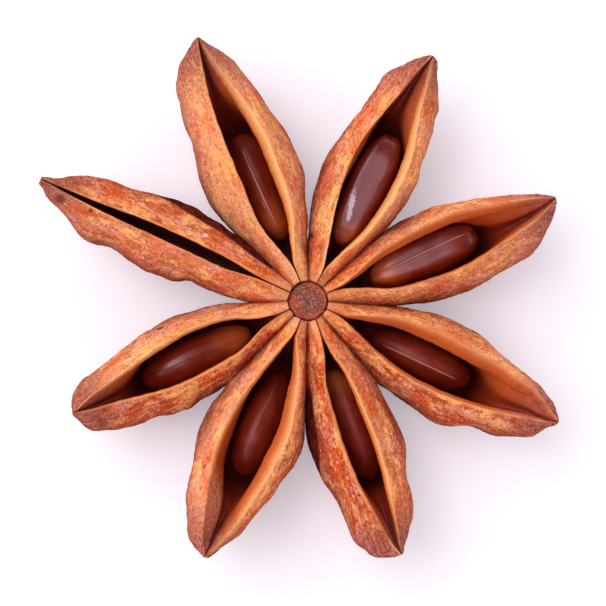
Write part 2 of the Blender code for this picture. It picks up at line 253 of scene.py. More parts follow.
# Where the painted shade on the underside of a flank begins: how far from the column and from the
# heading line.
DARK_EDGES = {
    ("pod_5", -1): (
        (5.0, 1.75), (6.0, 1.95), (7.5, 2.3), (9.0, 2.6), (10.5, 2.95), (11.5, 3.2), (13.0, 3.6),
    ),
    ("pod_8", -1): (
        (2.5, 0.8), (4.5, 1.2), (6.0, 1.6), (7.5, 1.9), (9.0, 2.1), (11.0, 2.4), (13.0, 2.7),
    ),
}

# Single marks on the outside: how far from the column and to the left of the heading line, half
# length and half width, and how dark, or how pale below 0.
MARKS = {
    "pod_1": (
        (15.2, -1.0, 0.25, 0.07, 0.9), (11.9, 2.4, 0.25, 0.07, 0.6), (3.4, -1.2, 1.3, 0.5, 0.55),
    ),
    "pod_2": ((4.15, 1.9, 0.25, 0.35, 1.0), (3.7, 0.9, 0.45, 0.4, 0.5), (8.4, 2.1, 0.5, 0.3, 0.4)),
    "pod_5": ((14.6, -1.6, 0.9, 0.35, 0.5),),
    "pod_6": ((13.1, -2.35, 0.25, 0.06, 1.0), (9.2, -2.7, 0.6, 0.3, 0.5)),
    "pod_7": ((9.8, -2.65, 0.3, 0.12, 1.0), (16.2, 1.6, 0.8, 0.5, 0.5)),
    "pod_8": (
        (16.0, 0.5, 0.2, 0.15, 1.0), (8.2, -1.2, 0.2, 0.15, -1.0), (18.2, 0.6, 0.5, 0.35, 0.7),
    ),
}

# left, right: how pale the flanks are. gloom: how much painted shade darkens the far end of the
# hollow. rough: how much the rough skin of the outside takes over there, on the right. band: how
# pale and wide the pale part of the lips' inner edges is.
Tone = namedtuple("Tone", "left right gloom rough band")
TONES = {
    "pod_1": Tone(1.00, 0.75, 0.9, 0.2, 1.15),
    "pod_2": Tone(0.55, 0.80, 0.6, 0.2, 1.2),
    "pod_3": Tone(0.68, 0.60, 0.2, 0.0, 0.65),
    "pod_4": Tone(0.58, 0.24, 0.0, 0.0, 0.7),
    "pod_5": Tone(0.52, 0.08, 1.0, 0.0, 1.0),
    "pod_6": Tone(0.42, 0.75, 0.35, 1.0, 0.9),
    "pod_7": Tone(0.15, 0.76, 0.8, 0.2, 1.0),
    "pod_8": Tone(0.53, 0.36, 1.0, 0.0, 1.0),
}

# Where colours change. The painted shade in the hollow: near the column, past the seed, in the
# empty pod and below the lips. Then how far down the single marks reach, and where the far end of
# the hollow and the rough skin in it begin.
DARK_START = (0.3, 0.2)
DARK_PAST_SEED = 0.65
DARK_EMPTY = 0.7
DARK_DOWN = (0.4, 1.2)
DARK_DEEP = (0.2, 0.6)
EDGE_BLUR = 0.25
MARK_DOWN = (5.0, 3.5)
GLOOM_SHARE = (0.62, 0.8)
ROUGH_SHARE = (0.66, 0.76)

# The seeds. SEED_GAP is how far each one lies above the bottom of its hollow.
SEED_HEIGHT = 4.7
SEED_THICKNESS = 2.8
SEED_GAP = 0.2
SEED_RINGS = 72
SEED_SIDES = 160
RING_STEPS = 4001
SEED_EGG = 0.1
SEED_BLUNT = 2.3
SEED_BACK = 0.85
SEED_CROWDING = 2.5
SEED_COAT_ROUGHNESS = 0.16
SEED_SPECULAR = 0.35
HUSK_SPECULAR = 0.3
LINE_HEIGHT = 0.04
LINE_WIDTH = 0.07
LINE_SHARE = (0.88, 0.62)

# back: the power of the curve over a seed's back, higher for a flatter one. lean: how many degrees
# it leans to the left. peak: how far its highest point lies towards the pod's tip, as a share of
# half its length. foot: how light the end towards the column is. gloss: how strongly the back
# shines. line: how clear the fine line along the back is, partly a painted highlight, and how
# far to the left it starts and ends.
Seed = namedtuple("Seed", "back lean peak foot gloss line line_left")
SEEDS = {
    "pod_1": Seed(2.0, 11, -0.45, 1.5, 0.7, 1.0, (-0.2, 0.15)),
    "pod_2": Seed(5.5, 4, 0.0, 1.2, 1.0, 0.0, (0.0, 0.0)),
    "pod_3": Seed(5.5, 8, 0.0, 1.4, 1.0, 1.0, (-0.15, 0.2)),
    "pod_4": Seed(2.0, -5, 0.0, 0.1, 0.1, 0.9, (-0.3, -0.3)),
    "pod_5": Seed(2.0, 0, 0.0, 1.3, 0.0, 0.3, (0.1, -0.1)),
    "pod_6": Seed(2.2, -9, 0.1, 0.5, 0.3, 0.5, (0.1, -0.1)),
    "pod_7": Seed(2.4, 0, 0.1, 1.6, 0.85, 0.4, (-0.05, -0.05)),
}

# The painted highlight, a pale ragged streak along the edge of one seed's sheen: in which pod, how
# far before the seed's middle it starts, how quickly it sets in, over what length it fades, and
# how far to the left it lies and its half-width, each at its start and how much more with every
# millimetre.
GLINT_POD = "pod_2"
GLINT_START = 2.8
GLINT_RISE = 3
GLINT_LENGTH = 2.6
GLINT_LEFT = (0.1, 0.25)
GLINT_WIDTH = (0.16, 0.06)

# The camera leans a little away from straight above. It stands so many metres from a point on the
# column's axis, which lies so many millimetres up and shows at COLUMN_PIXEL. PIXEL is millimetres.
TILT, TILT_TOWARDS = math.radians(7), math.radians(219)
CAMERA_AWAY = 0.30
CAMERA_AIM = 7.2
IMAGE_SIDE = 606
PIXEL = 0.068
COLUMN_PIXEL = (308.5, 300.5)
SENSOR = 36.0
NEAREST = 0.01

# In metres: half the side of the table, and where the two square lamps hang and their sides.
FLOOR_HALF = 1.5
KEY_AT, KEY_SIDE = (-0.39, 0.20, 0.42), 0.65
OVERHEAD_AT, OVERHEAD_SIDE = (-0.16, 0.02, 0.56), 0.38
WHITE = (1.0, 1.0, 1.0)
SKY_BLEND = (0.25, 0.9)


def colour(name, about, rgb):
    """A colour that the user can change."""
    return bpy.props.FloatVectorProperty(
        name=name, description=about, default=rgb, subtype="COLOR", size=3, min=0.0, max=1.0
    )


def length(name, about, millimetres):
    """A length that the user can change."""
    return bpy.props.FloatProperty(
        name=name, description=about, default=millimetres * MM, unit="LENGTH", precision=5, min=0.0
    )


def power(name, about, watts):
    """A lamp's power that the user can change."""
    return bpy.props.FloatProperty(
        name=name, description=about, default=watts, unit="POWER", min=0.0
    )


def number(name, about, value):
    """A plain number that the user can change."""
    return bpy.props.FloatProperty(name=name, description=about, default=value, min=0.0)


class HuskLook(bpy.types.PropertyGroup):
    """Sizes and colours of the pods and the column."""

    wrinkles: length("Wrinkles", "Height of the wrinkles on the outside", 0.045)
    grain: length("Grain", "Height of the fine grain on the outside", 0.032)
    ragged: length("Ragged lips", "How far the lips stray from a smooth line", 0.035)
    bump: length("Fine bump", "Depth of the finest pits, which are only shaded", 0.085)
    light: colour("Light husk", "The palest flanks", (0.74, 0.295, 0.122))
    dark: colour("Dark husk", "The darkest flanks", (0.44, 0.066, 0.016))
    patch: colour("Patches", "Broad orange-red patches on the outside", (0.60, 0.085, 0.014))
    pale: colour("Pale patches", "Yellowish patches on the outside", (0.88, 0.41, 0.13))
    blush: colour("Blush", "Pinkish patches on the outside", (0.66, 0.25, 0.185))
    pit: colour("Pits", "Small dark pits and marks on the outside", (0.11, 0.014, 0.010))
    # Painted glints in the specks on the outside; also the pale marks and the disc's pale grains.
    fleck: colour("Flecks", "Pale specks on the outside", (0.92, 0.55, 0.42))
    # Painted shade low down on the flanks, and in the painted shade of the hollows and gaps.
    under: colour("Underside", "Low down on the outside", (0.18, 0.036, 0.022))
    # Painted shade, where light hardly reaches.
    painted_shade: colour("Painted shade", "Where light hardly reaches", (0.065, 0.006, 0.005))
    tip: colour("Tips", "Towards the tips of the pods", (0.40, 0.125, 0.095))
    tip_dark: colour("Dark tips", "The darker mottling of the tips", (0.15, 0.032, 0.026))
    root: colour("Roots", "The ends of the pods next to the column", (0.60, 0.29, 0.15))
    # Painted highlight along the crest of the lips.
    lip: colour("Lips", "The fine line along the lips", (0.86, 0.38, 0.12))
    bevel: colour("Inner edge", "The sloping inner edge of the lips", (0.84, 0.41, 0.135))
    wall: colour("Inner wall", "Inside a pod below its inner edge", (0.50, 0.085, 0.014))
    bed: colour("Bed", "Inside a pod at its bottom", (0.32, 0.032, 0.009))
    disc: colour("Disc", "The granular disc in the middle", (0.38, 0.088, 0.038))
    pore: colour("Pore", "The dark dots between the grains of the disc", (0.11, 0.03, 0.024))


class SeedLook(bpy.types.PropertyGroup):
    """Sizes and colours of the seeds."""

    dents: length("Dents", "Depth of the shallow dents", 0.03)
    coat: colour("Coat", "The glossy coat", (0.17, 0.009, 0.003))
    streak: colour("Streaks", "Paler streaks in the coat", (0.26, 0.026, 0.006))
    foot: colour("Foot", "The end that was joined to the pod", (0.76, 0.165, 0.034))
    # Partly a painted highlight along the ridge of the back.
    line: colour("Line", "The fine line along the back", (0.74, 0.38, 0.30))
    # Painted highlight: the pale ragged streak along the edge of one seed's sheen.
    glint: colour("Glint", "Painted highlight along the edge of one seed's sheen", (0.82, 0.70, 0.74))


class StudioLook(bpy.types.PropertyGroup):
    """Sizes and colours of the studio."""

    floor: colour("Floor", "The table", (0.85, 0.84, 0.85))
    glow: number("Glow", "How brightly the table is lit from below", 0.27)
    glow_tint: colour("Glow tint", "The light from below", (0.96, 0.91, 1.0))
    key: power("Key light", "Power of the light on the left", 2.25)
    overhead: power("Overhead light", "Power of the broad light above", 0.85)
    overhead_tint: colour("Overhead tint", "The broad light above", (0.95, 0.81, 1.0))
    sky: colour("Surroundings", "Light from all round", (0.97, 0.95, 1.0))
    sides: number("Side light", "Strength of the light from all round, low down", 1.88)
    above: number("Top light", "Strength of the light from straight above", 0.10)


def through(knots, x):
    """The values at x of a smooth curve through the knots."""
    xs, ys = np.array(knots, float).T
    slopes = np.gradient(ys, xs)
    i = np.clip(np.searchsorted(xs, x) - 1, 0, len(xs) - 2)
    width = xs[i + 1] - xs[i]
    s = np.clip((x - xs[i]) / width, 0.0, 1.0)
    return (
        ys[i] * (1 + 2 * s) * (1 - s) ** 2
        + slopes[i] * width * s * (1 - s) ** 2
        + ys[i + 1] * s * s * (3 - 2 * s)
        + slopes[i + 1] * width * s * s * (s - 1)
    )


def smooth(x):
    """0 below 0, 1 above 1, with an even change between."""
    x = np.clip(x, 0.0, 1.0)
    return x * x * (3 - 2 * x)


def mix(a, b, share):
    """From a, where the share is 0, to b, where it is 1."""
    return a + (b - a) * share


def between(x, start, end):
    """How far x is from the start to the end, as a share."""
    return (x - start) / (end - start)


def hump(x, middle, half_width):
    """1 at the middle, falling off to nothing on both sides."""
    return np.exp(-(((x - middle) / half_width) ** 2))


def soft_least(a, b, blend=0.2):
    """The smaller of two widths, rounded where they cross."""
    return 0.5 * (a + b - np.sqrt((a - b) ** 2 + blend**2))


def closing(share):
    """Falls to 0 at the tip as a quarter of an ellipse, which rounds the end off."""
    x = np.clip((share - CLOSING) / (1 - CLOSING), 0.0, 1.0)
    return np.sqrt(1 - x * x)


# The same draws on every run.
RANDOM = np.random.default_rng(11)
SHUFFLE = RANDOM.permutation(256)
SLOPES = RANDOM.normal(size=(256, 3))
SLOPES /= np.linalg.norm(SLOPES, axis=1)[:, None]


def relief(points):
    """Smooth noise from about -1 to 1 at an array of points."""
    cell = np.floor(points).astype(int)
    inside = points - cell
    fade = inside**3 * (inside * (inside * 6 - 15) + 10)
    total = np.zeros(points.shape[:-1])
    for corner in itertools.product((0, 1), repeat=3):
        x, y, z = np.moveaxis(cell + corner, -1, 0)
        slot = SHUFFLE[(SHUFFLE[(SHUFFLE[x % 256] + y) % 256] + z) % 256]
        weight = np.prod(np.where(corner, fade, 1 - fade), axis=-1)
        total += weight * np.sum(SLOPES[slot] * (inside - corner), axis=-1)
    return 1.6 * total


def rank(name):
    """A pod's own number, which sets its noise apart from its neighbours'."""
    return int(name[-1])


def half_wedges(name):
    """The angles from a pod's heading to the borders with its left and its right neighbour."""
    headings = sorted(pod.heading for pod in PODS.values())
    i = headings.index(PODS[name].heading)
    left = (headings[(i + 1) % len(headings)] - headings[i]) % 360
    right = (headings[i] - headings[i - 1]) % 360
    return math.radians(left / 2), math.radians(right / 2)


def flank_at(breadths, share, pod_length, wedge, humps):
    """From the heading line to one flank, held in near the column by the neighbouring pod."""
    along = share * pod_length
    knots = ROOT_BREADTHS + tuple(zip(GIRTHS, breadths)) + ((1.0, TIP_BREADTH * breadths[-1]),)
    free = through(knots, share) * closing(share)
    free = soft_least(free, along * math.tan(wedge) + PRESSED)
    swell = sum(out * hump(along, at, half) for at, out, half in humps)
    return np.maximum(free + swell, LEAST_FLANK * free)


def lip_at(lips, share, slit):
    """From the heading line to one edge of the opening."""
    start = tuple((x, y * lips[0]) for x, y in LIP_START + ((SLIT_SHARE, slit),))
    knots = start + tuple(zip(GIRTHS, lips)) + ((1.0, 0.0),)
    return np.maximum(NARROWEST_LIP, through(knots, share))


def lip_height(pod, share):
    """How high the lips stand. Next to the column all pods stand equally high."""
    return through(LIP_HEIGHT, share) + pod.lift * smooth(between(share, *LIFT_START))


def wrinkle(name, along, depth, side):
    """Low folds of the husk, drawn from smooth noise that differs from pod to pod."""
    layer = WRINKLE_SIDES * side + WRINKLE_PODS * rank(name)
    along, depth = np.broadcast_arrays(along, depth)
    places = zip(along.ravel() / WRINKLE_LENGTH, depth.ravel() / WRINKLE_LENGTH)
    folds = [noise.noise(Vector((x, y, layer))) for x, y in places]
    folds = np.array(folds).reshape(along.shape)
    return WRINKLE * folds * smooth(between(along, *WRINKLE_START))


def stray(name, side, along, look):
    """How far a ragged lip strays sideways."""
    spot = np.zeros((len(along), 3))
    spot[:, 1:] = 3.7 * side, 11.3 * rank(name)
    spot[:, 0] = along[:, 0] / RAGGED_LENGTHS[0]
    coarse = relief(spot)
    spot[:, 0] = along[:, 0] / RAGGED_LENGTHS[1]
    return look.ragged / MM * (coarse + 0.4 * relief(spot))[:, None]


def painted_shade_mask(name, along, share, across, down, inner, deep):
    """Painted shade where light hardly reaches: low on two of the flanks, and down in the hollows.
    """
    painted_shade = np.zeros(across.shape)
    for side in (1, -1):
        if (name, side) in DARK_EDGES:
            xs, ys = np.array(DARK_EDGES[name, side]).T
            past = side * across - np.interp(along, xs, ys)
            within = smooth(along - xs[0]) * smooth(xs[-1] - along)
            painted_shade = np.maximum(painted_shade, smooth(past / EDGE_BLUR + 0.5) * within)
    dark = smooth(between(share, *DARK_START))
    seed = PODS[name].seed
    if seed:
        dark = dark + DARK_PAST_SEED * hump(along, seed[0] / 2 + seed[1] + 0.3, 0.8)
    else:
        dark = np.maximum(dark, DARK_EMPTY)
    dark = dark * smooth(between(down, *DARK_DOWN))
    return np.maximum(painted_shade, dark * inner * smooth(between(deep, *DARK_DEEP)))


def marks(name, along, across, down):
    """The single marks: how dark the outside is, or how pale below 0."""
    total = np.zeros(across.shape)
    for at, left, half_length, half_width, strength in MARKS.get(name, ()):
        total += strength * hump(along, at, half_length) * hump(across, left, half_width)
    return total * smooth(between(down, *MARK_DOWN))


def pod_skin(name, look):
    """A pod's skin in its own frame: points, and what the husk's material has to know of them."""
    pod = PODS[name]
    start = ROOT / pod.length
    steps = np.linspace(0.0, 1.0, STATIONS)
    share = (start + (TIP_SHARE - start) * (1 - (1 - steps) ** CROWDING))[:, None]
    along = share * pod.length
    top = lip_height(pod, share)
    depth = through(DEPTH, share) * closing(share) ** DEPTH_CLOSING
    slit_start, slit = SLITS[name]
    floor = np.minimum(through(HOLLOW_DEPTH, share), DEEPEST_HOLLOW * depth)
    floor = mix(np.minimum(GROOVE, floor), floor, smooth(along - slit_start + SLIT_LEAD))
    wedges = dict(zip((1, -1), half_wedges(name)))
    breadths = {1: pod.left, -1: pod.right}
    lips = {1: lip_at(pod.left_lip, share, slit), -1: lip_at(pod.right_lip, share, slit)}
    flanks, bevels, drops, ragged = {}, {}, {}, {}
    for side, bevel in zip((1, -1), pod.bevels):
        humps = HUMPS[name, side]
        flanks[side] = flank_at(breadths[side], share, pod.length, wedges[side], humps)
        lips[side] = np.minimum(lips[side], WIDEST_OPENING * flanks[side])
        bevels[side] = np.minimum(through(BEVEL, share) * bevel, lips[side] - NARROWEST_THROAT)
        drops[side] = np.minimum(BEVEL_DROP * bevels[side], DEEPEST_DROP * floor)
        ragged[side] = stray(name, side, along, look) * smooth(between(lips[side], *RAGGED_START))
    keel = pod.seat * closing(share)
    to_tip = smooth(between(share, *BED_END))
    opening = 0.5 * (lips[1] + lips[-1])
    crease = 0.5 * (lips[1] - lips[-1]) + pod.crease * opening
    bed = mix(pod.seat * smooth(between(share, *BED_START)), crease, to_tip)
    thick = np.minimum(flanks[1], flanks[-1]) - THINNEST_WALL
    hollow = np.maximum(NARROWEST_HOLLOW, np.minimum(through(HOLLOW, share), thick))
    roundness = mix(*FLOOR_ROUNDNESS, to_tip)
    shoulder = through(SHOULDER, share)
    bend = pod.crook * smooth(between(share, CROOK_START, 1.0))

    def outside(down, side):
        fold = wrinkle(name, along, down * depth, side)
        fold = fold * smooth(down / WRINKLE_BELOW) * smooth((1 - down) / WRINKLE_KEEL)
        rise = np.sin(0.5 * math.pi * np.minimum(down / BULGE, 1)) ** shoulder
        above = side * mix(lips[side], flanks[side], rise)
        below = np.clip((down - BULGE) / (1 - BULGE), 0, 1)
        under = mix(keel, side * flanks[side], np.sqrt(1 - below**2))
        across = np.where(down <= BULGE, above, under) + side * fold
        across += side * ragged[side] * (1 - smooth(down / RAGGED_END))
        return across, top - down * depth

    def inside(down, side):
        throat = side * (lips[side] - bevels[side])
        wall = mix(throat, bed + side * hollow, smooth(down / SPLAY))
        across = mix(bed, wall, np.sqrt(1 - down**roundness))
        across += side * ragged[side] * (1 - smooth(down / RAGGED_END))
        return across, top - mix(drops[side], floor, down)

    def over(share_in, side):
        across = side * (lips[side] - share_in * bevels[side] + ragged[side])
        crest = LIP_CREST * np.sin(math.pi * np.minimum(share_in / LIP_CREST_END, 1))
        fall = np.maximum(0, between(share_in, LIP_FALL_START, 1)) ** LIP_FALL_POWER
        return across, top + crest - fall * drops[side]

    first = dict(zip((1, -1), (DEEP_LIP * (1 - smooth(b / SHARP_LIP)) for b in pod.bevels)))
    flank_down = np.linspace(0, 1, FLANK_POINTS) ** FLANK_CROWDING
    lip_in = np.linspace(0, 1, LIP_POINTS + 2)[1:-1]
    wall_down = np.linspace(0, 1, WALL_POINTS)
    none, whole = np.zeros(FLANK_POINTS - 1), np.ones(WALL_POINTS - 1)
    tone = TONES[name]
    slope = np.minimum(lip_in, tone.band) - tone.band
    parts = (
        (outside(flank_down[:-1], 1), none, none),
        ((keel, top - depth), none[:1], none[:1]),
        (outside(flank_down[-2::-1], -1), none, none),
        (over(lip_in, -1), smooth(lip_in / LIP_SKIN_END), slope),
        (inside(wall_down[:-1], -1), whole, np.maximum(first[-1], wall_down[:-1])),
        ((bed, top - floor), whole[:1], whole[:1]),
        (inside(wall_down[-2::-1], 1), whole, np.maximum(first[1], wall_down[-2::-1])),
        (over(lip_in[::-1], 1), smooth(lip_in[::-1] / LIP_SKIN_END), slope[::-1]),
    )
    across = np.concatenate([part[0][0] for part in parts], axis=1)
    height = np.concatenate([part[0][1] for part in parts], axis=1)
    even = np.zeros(across.shape)

    # The end next to the column follows a circle round it, and is a little lumpy.
    curved = np.sqrt(np.maximum(along**2 - across**2, 0.3 * along**2)) - along
    ends = np.stack([END_LUMPS * across, height, even], axis=-1) + 7 * rank(name)
    curved = (curved + END_LUMP * relief(ends)) * (1 - smooth(between(along, ROOT, ROOT + 1)))
    points = np.stack([along + curved, across + bend, height], axis=-1)

    # How far each point lies from the nearer lip, over the skin.
    reach = np.cumsum(np.linalg.norm(np.diff(points, axis=1, append=points[:, :1]), axis=-1), 1)
    girth = reach[:, -1:]
    right_lip = 2 * (FLANK_POINTS - 1)
    gaps = [np.abs(reach - reach[:, [i]]) for i in (0, right_lip)]
    left_gap, right_gap = (np.minimum(gap, girth - gap) for gap in gaps)
    lip_gap = np.minimum(left_gap, right_gap)
    layer = np.where(left_gap < right_gap, 23.0, 31.0) + 7 * rank(name)

    inner = np.concatenate([part[1] for part in parts]) + even
    deep = np.concatenate([part[2] for part in parts]) + even
    down = top - height
    facts = {
        "grain": points + (40.0 * rank(name), 0, 0),
        "strand": np.stack([along + even, lip_gap, layer], axis=-1),
        "inner": inner,
        "deep": deep,
        "down": down,
        "outward": share + even,
        "lip_gap": lip_gap,
        "tone": mix(tone.right, tone.left, smooth(across + 0.5)),
        "gloom": (2 * tone.gloom - 1) * smooth(between(share, *GLOOM_SHARE)) + even,
        "rough": tone.rough * smooth(between(share, *ROUGH_SHARE)) * smooth(0.5 - across),
        "painted_shade": painted_shade_mask(name, along, share, across, down, inner, deep),
        "marks": marks(name, along, across, down),
    }
    return points, facts


def normals_of(points):
    """Outward directions over a closed lofted skin."""
    round_it = np.roll(points, -1, axis=1) - np.roll(points, 1, axis=1)
    along = np.gradient(points, axis=0)
    away = np.cross(along, round_it)
    return away / np.maximum(np.linalg.norm(away, axis=-1, keepdims=True), 1e-9)


def weather(points, facts, look):
    """Raises wrinkles and grain on the outside of a pod, and faint streaks on the inside."""
    out = 1 - facts["inner"]
    at = facts["grain"]
    broad = relief(at * (0.5, 0.8, 0.8))
    middle = relief(at * (0.8, 2.0, 2.0) + 5)
    fine = relief(at * 3.3 + 7)
    away_from_lip = smooth(facts["lip_gap"] / 0.4)
    outer = look.wrinkles / MM * (0.7 * broad + middle) * away_from_lip
    outer += look.grain / MM * fine * (0.4 + 0.6 * away_from_lip)
    streaks = 0.012 * relief(facts["strand"] * (0.4, 4.0, 1) + (0, 0, 0.8))
    lift = out * outer + (1 - out) * streaks
    ends = smooth((facts["outward"] - 0.12) / 0.1)
    return points + normals_of(points) * (lift * ends)[..., None]


def pod_frame(pod):
    """Turns (along, left, up) of a pod into the star's frame."""
    return COLUMN_PLACE @ Matrix.Rotation(math.radians(pod.heading), 4, "Z")


def in_star(points, place):
    """Millimetres in a pod's frame to metres in the star's, held inside the part's own box."""
    turn = np.array(place.to_3x3())
    moved = points * MM @ turn.T + np.array(place.translation)
    return np.clip(moved, np.array(CAD_LOW), np.array(CAD_HIGH))


def volume(mesh):
    """The signed volume of a closed mesh."""
    mesh.calc_loop_triangles()
    corners = np.empty(len(mesh.loop_triangles) * 3, int)
    mesh.loop_triangles.foreach_get("vertices", corners)
    co = np.empty(len(mesh.vertices) * 3)
    mesh.vertices.foreach_get("co", co)
    a, b, c = np.moveaxis(co.reshape(-1, 3)[corners.reshape(-1, 3)], 1, 0)
    return float(np.sum(a * np.cross(b, c)))


def skin_object(name, points, facts, material):
    """A closed, smooth object from rows of points, with its facts as attributes."""
    rows, count = points.shape[:2]
    index = np.arange(rows * count).reshape(rows, count)
    near, far = index[:-1], index[1:]
    quads = np.stack([near, np.roll(near, -1, 1), np.roll(far, -1, 1), far], axis=-1)
    faces = quads.reshape(-1, 4).tolist()
    for row, middle in ((index[0, ::-1], rows * count), (index[-1], rows * count + 1)):
        faces += [(int(i), int(j), middle) for i, j in zip(row, np.roll(row, -1))]

    def with_ends(values):
        flat = values.reshape(rows * count, -1)
        return np.concatenate([flat, values[[0, -1]].mean(1).reshape(2, -1)])

    mesh = bpy.data.meshes.new(name)
    mesh.from_pydata(with_ends(points).tolist(), [], faces)
    for key, values in facts.items():
        kind, field = ("FLOAT_VECTOR", "vector") if values.ndim == 3 else ("FLOAT", "value")
        attribute = mesh.attributes.new(key, kind, "POINT")
        attribute.data.foreach_set(field, with_ends(values).astype(np.float32).ravel())
    mesh.shade_smooth()
    if volume(mesh) < 0:
        mesh.flip_normals()
    mesh.materials.append(material)
    obj = bpy.data.objects.new(name, mesh)
    bpy.context.scene.collection.objects.link(obj)
    return obj


class Wire:
    """A socket in a material, to work with as if it were a number, and a way to add nodes."""

    def __init__(self, tree, socket=None):
        self.tree = tree
        self.socket = socket

    def node(self, kind, settings=None, inputs=None, output=0):
        """Adds a node, sets it up, fills or links its inputs, and wraps one of its outputs."""
        node = self.tree.nodes.new(kind)
        for key, value in (settings or {}).items():
            setattr(node, key, value)
        for key, value in (inputs or {}).items():
            if isinstance(value, Wire):
                self.tree.links.new(value.socket, node.inputs[key])
            else:
                node.inputs[key].default_value = value
        return Wire(self.tree, node.outputs[output])

    def maths(self, operation, *values):
        return self.node("ShaderNodeMath", {"operation": operation}, dict(enumerate(values)))

    def __add__(self, other):
        return self.maths("ADD", self, other)

    def __radd__(self, other):
        return self.maths("ADD", other, self)

    def __sub__(self, other):
        return self.maths("SUBTRACT", self, other)

    def __rsub__(self, other):
        return self.maths("SUBTRACT", other, self)

    def __mul__(self, other):
        return self.maths("MULTIPLY", self, other)

    def __rmul__(self, other):
        return self.maths("MULTIPLY", other, self)

    def fact(self, name, output="Fac"):
        """What the mesh says of itself under that name."""
        return self.node("ShaderNodeAttribute", {"attribute_name": name}, output=output)

    def step(self, start, end):
        """0 where this is at the start or before it, 1 at the end or after it."""
        inputs = {"Value": self, "From Min": start, "From Max": end}
        return self.node("ShaderNodeMapRange", {"interpolation_type": "SMOOTHSTEP"}, inputs)

    def paint(self, low, high):
        """The low colour where this is 0 and the high one where it is 1."""
        low, high = (c if isinstance(c, Wire) else (*c, 1.0) for c in (low, high))
        return self.node("ShaderNodeMix", {"data_type": "RGBA"}, {0: self, 6: low, 7: high}, 2)

    def shade(self, tint):
        """The tint made darker where this is under 1."""
        grey = self.node("ShaderNodeCombineColor", {}, {0: self, 1: self, 2: self})
        settings = {"data_type": "RGBA", "blend_type": "MULTIPLY"}
        return self.node("ShaderNodeMix", settings, {0: 1.0, 6: tint, 7: grey}, 2)

    def scaled(self, scale):
        """This place, with each of its directions scaled."""
        return self.node("ShaderNodeVectorMath", {"operation": "MULTIPLY"}, {0: self, 1: scale})

    def cloud(self, scale, detail=2.0, rough=0.5):
        """Noise from 0 to 1 at this place, with so many cycles a millimetre each way."""
        inputs = {"Vector": self.scaled(scale), "Scale": 1.0, "Detail": detail, "Roughness": rough}
        return self.node("ShaderNodeTexNoise", {}, inputs)


def new_material(name):
    """A material, a wire to start its nodes from, and its shader."""
    material = bpy.data.materials.new(name)
    material.use_nodes = True
    return material, Wire(material.node_tree), material.node_tree.nodes["Principled BSDF"]


def connect(shader, **wires):
    """Links wires to the shader's sockets, which are named with underscores for spaces."""
    for key, wire in wires.items():
        wire.tree.links.new(wire.socket, shader.inputs[key.replace("_", " ")])


